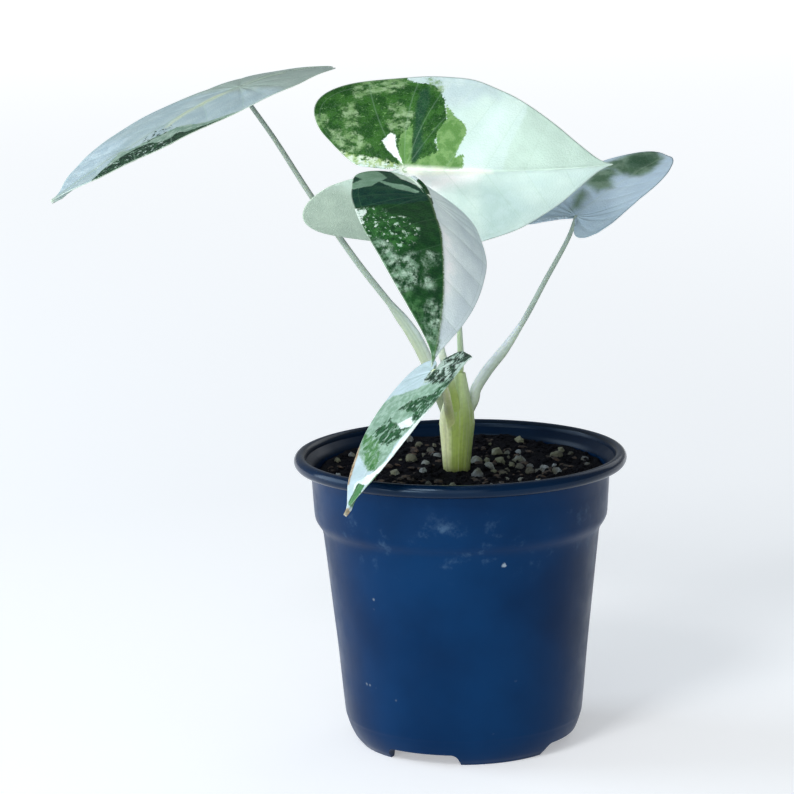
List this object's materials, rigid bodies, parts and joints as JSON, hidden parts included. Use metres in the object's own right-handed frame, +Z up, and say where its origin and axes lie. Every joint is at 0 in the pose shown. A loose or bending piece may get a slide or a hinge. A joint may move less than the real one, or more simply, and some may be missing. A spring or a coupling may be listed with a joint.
{
  "type": "potted variegated green velvet alocasia",
  "caption": "Young arrow-leaved aroid with white and dark green blades on slender stalks, standing in a soil-filled round plastic nursery pot.",
  "frame": {"origin": "middle of the pot's underside, on the surface it stands on", "axes": "+Z up along the pot's axis, viewer on the -Y side, +X to the viewer's right"},
  "size_m": [0.2139, 0.1718, 0.2345],
  "materials": {
    "pot_plastic": "satin",
    "potting_mix": "matte",
    "crown_tissue": "satin",
    "petiole_tissue": "satin",
    "blade_pale": "satin",
    "blade_dark": "satin"
  },
  "bodies": {
    "root": {"pot": "pot_plastic", "soil": "potting_mix", "crown": "crown_tissue", "petiole_left": "petiole_tissue", "petiole_middle": "petiole_tissue", "petiole_front": "petiole_tissue", "petiole_low": "petiole_tissue", "petiole_right": "petiole_tissue", "leaf_left": "blade_pale", "leaf_middle": "blade_pale", "leaf_front": "blade_dark", "leaf_low": "blade_dark", "leaf_right": "blade_pale"}
  },
  "joints": []
}
